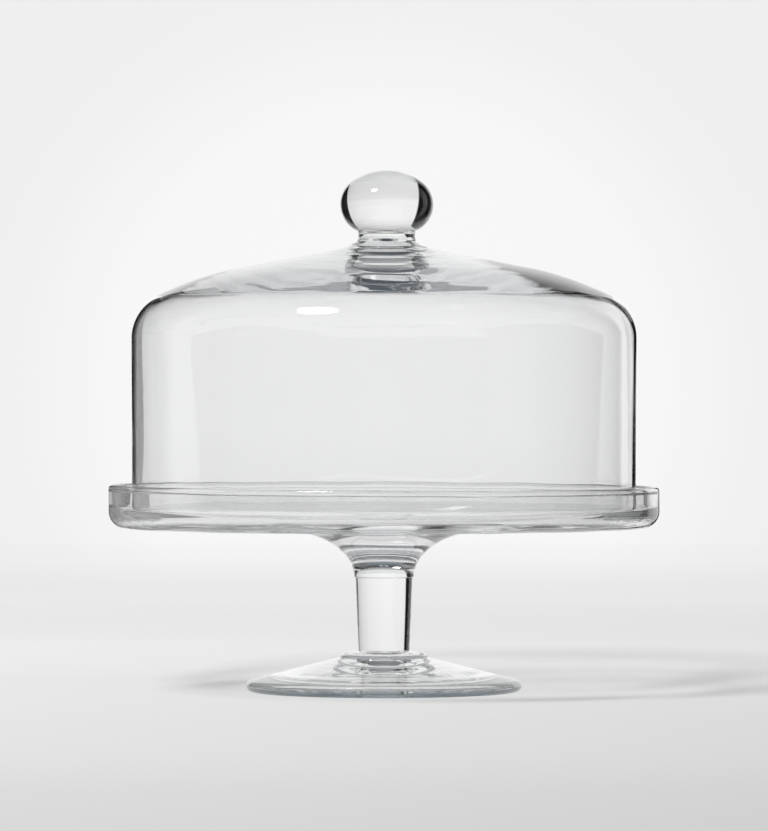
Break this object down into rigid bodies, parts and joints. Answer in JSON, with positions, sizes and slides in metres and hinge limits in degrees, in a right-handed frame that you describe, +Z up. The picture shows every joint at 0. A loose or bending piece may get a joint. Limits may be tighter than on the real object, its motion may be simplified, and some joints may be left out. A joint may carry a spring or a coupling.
{
  "type": "footed cake stand with glass dome",
  "caption": "Clear glass cake dome with a ball knob that lifts off a rimmed plate on a solid stem and a round foot.",
  "frame": {"origin": "centre of the foot's underside, on the surface that the stand rests on", "axes": "+Z up along the axis of the stem and the dome; the piece is round, so +X and +Y are alike"},
  "size_m": [0.29, 0.29, 0.2752],
  "materials": {
    "knob": "clear, fire-polished",
    "knob_neck": "clear, fire-polished",
    "dome_shell": "clear, fire-polished",
    "plate": "clear, fire-polished",
    "stem_flare": "clear, fire-polished",
    "stem": "clear, fire-polished",
    "foot_collar": "clear, fire-polished",
    "foot": "clear, fire-polished"
  },
  "bodies": {
    "stand": {"foot": "foot", "foot_collar": "foot_collar", "stem": "stem", "stem_flare": "stem_flare", "plate": "plate"},
    "dome": {"dome_shell": "dome_shell", "knob_neck": "knob_neck", "knob": "knob"}
  },
  "joints": [
    {"name": "dome_lift", "type": "slide", "parent": "stand", "child": "dome", "axis": [0, 0, 1], "range_m": [0, 0.2]}
  ]
}
